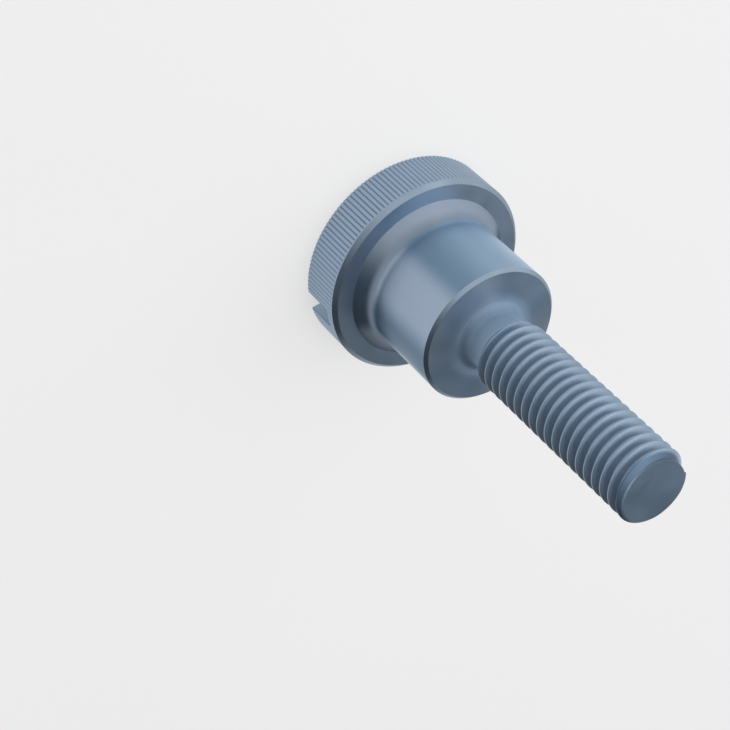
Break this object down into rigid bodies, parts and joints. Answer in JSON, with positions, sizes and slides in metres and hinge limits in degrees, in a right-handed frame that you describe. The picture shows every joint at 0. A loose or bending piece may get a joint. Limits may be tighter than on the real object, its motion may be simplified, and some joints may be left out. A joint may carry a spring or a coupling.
{
  "type": "slotted knurled thumb screw",
  "caption": "Turned steel thumb screw: straight-knurled slotted head, long plain collar with a seating face, undercut neck and metric screw thread.",
  "frame": {"origin": "centre of the slotted head face, on the screw's axis; the screw stands on this face", "axes": "+Z along the screw's axis, from the head to the tip of the thread; X along the driver slot"},
  "size_m": [0.023, 0.023, 0.0435],
  "materials": {
    "steel": "fine-turned bright steel with a cool blue-grey tone, satin"
  },
  "bodies": {
    "root": {"thumb_screw": "steel"}
  },
  "joints": []
}
